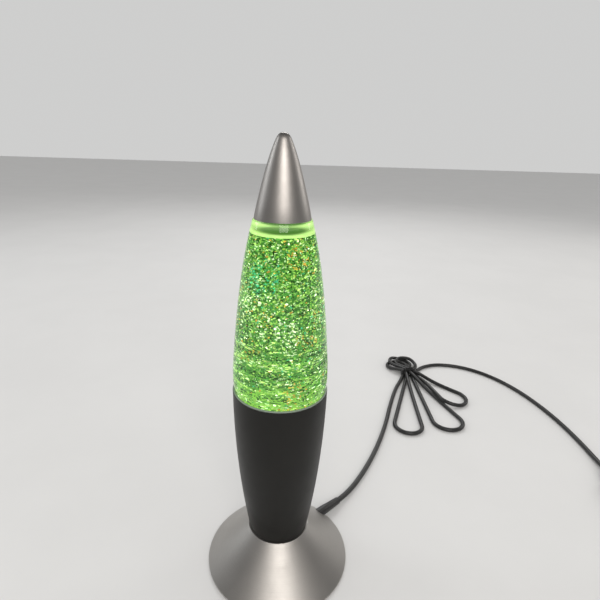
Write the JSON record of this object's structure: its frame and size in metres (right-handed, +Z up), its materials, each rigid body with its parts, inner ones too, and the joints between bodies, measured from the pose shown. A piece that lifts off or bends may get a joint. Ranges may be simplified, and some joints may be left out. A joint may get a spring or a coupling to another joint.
{
  "type": "glitter lamp",
  "caption": "Slender rocket-shaped glitter lamp: flared metal foot, dark collar, green glowing bottle of glitter, pointed silver cap and a tied mains lead.",
  "frame": {"origin": "on the table, under the lamp's axis", "axes": "+Z up, +Y away from the viewer, +X to the viewer's right"},
  "size_m": [0.4203, 0.4535, 0.34],
  "materials": {
    "foot_silver": "satin brushed, spun",
    "cap_silver": "satin brushed, spun",
    "collar_graphite": "dark graphite, satin brushed",
    "bottle_clear": "clear, polished",
    "glowing_liquid": "clear liquid tinted green, lit from below",
    "glitter_flakes": "metallised film",
    "closure_black": "moulded, ridged",
    "liner_white": "foamed",
    "insert_black": "foam ring",
    "seat_grey": "satin silicone",
    "plate_black": "moulded, fine grain",
    "feet_rubber": "matte",
    "zinc_steel": "zinc plated",
    "holder_black": "moulded phenolic",
    "holder_ceramic": "unglazed",
    "contact_brass": "bright",
    "solder_grey": "solder",
    "insulator_black": "black glass",
    "bulb_cap_nickel": "nickel plated",
    "bulb_reflector": "silvered cone, clear front",
    "stem_glass": "clear",
    "filament_glow": "tungsten",
    "flex_black": "satin PVC",
    "wire_brown": "PVC",
    "wire_blue": "PVC",
    "clamp_white": "nylon",
    "tie_black": "plastic coated wire",
    "switch_black": "moulded",
    "rocker_black": "moulded",
    "plug_black": "moulded PVC",
    "pin_nickel": "nickel plated brass"
  },
  "bodies": {
    "base": {"base_foot": "foot_silver", "collar": "collar_graphite", "bottle_seat": "seat_grey", "base_plate": "plate_black", "rubber_feet": "feet_rubber", "plate_lugs": "zinc_steel", "plate_screws": "zinc_steel", "clamp_screws": "zinc_steel", "switch_screws": "zinc_steel", "threaded_nipple": "zinc_steel", "nipple_washer": "zinc_steel", "nipple_nuts": "zinc_steel", "holder_dome": "holder_black", "holder_skirt": "holder_black", "holder_insert": "holder_ceramic", "holder_sleeve": "contact_brass", "holder_contact": "contact_brass", "holder_terminals": "contact_brass", "switch_contacts": "contact_brass", "strain_relief": "flex_black", "inner_lead": "flex_black", "live_wire": "wire_brown", "neutral_wire": "wire_blue", "cord_clamp": "clamp_white", "cord_lead": "flex_black", "cord_hank": "flex_black", "hank_tie": "tie_black", "cord_tail": "flex_black", "cord_end": "flex_black", "switch_lower": "switch_black", "switch_upper": "switch_black", "plug_body": "plug_black", "plug_relief": "plug_black", "plug_pins": "pin_nickel"},
    "bottle": {"bottle_glass": "bottle_clear", "liquid": "glowing_liquid", "glitter": "glitter_flakes", "bottle_closure": "closure_black", "closure_liner": "liner_white"},
    "cap": {"cap_shell": "cap_silver", "cap_insert": "insert_black"},
    "bulb_tip": {"bulb_tip": "solder_grey"},
    "bulb": {"bulb_insulator": "insulator_black", "bulb_cap": "bulb_cap_nickel", "bulb_glass": "bulb_reflector", "bulb_stem": "stem_glass", "filament": "filament_glow"},
    "rocker": {"switch_rocker": "rocker_black"}
  },
  "joints": [
    {"name": "bottle_lift", "type": "slide", "parent": "base", "child": "bottle", "axis": [0, 0, 1], "range_m": [0, 0.06]},
    {"name": "cap_lift", "type": "slide", "parent": "bottle", "child": "cap", "axis": [0, 0, 1], "range_m": [0, 0.045]},
    {"name": "bulb_rise", "type": "slide", "parent": "base", "child": "bulb_tip", "axis": [0, 0, 1], "range_m": [0, 0.0113]},
    {"name": "bulb_turn", "type": "hinge", "parent": "bulb_tip", "child": "bulb", "pos_m": [0, 0, 0.07], "axis": [0, 0, 1], "range_deg": [0, 1440]},
    {"name": "switch_rock", "type": "hinge", "parent": "base", "child": "rocker", "pos_m": [0.349, 0.068, 0.0126], "axis": [-0.9962, 0.0872, 0], "range_deg": [-18, 0]}
  ],
  "couplings": [
    {"joint": "bulb_rise", "follows": "bulb_turn", "m_per_rad": 0.00044882}
  ]
}
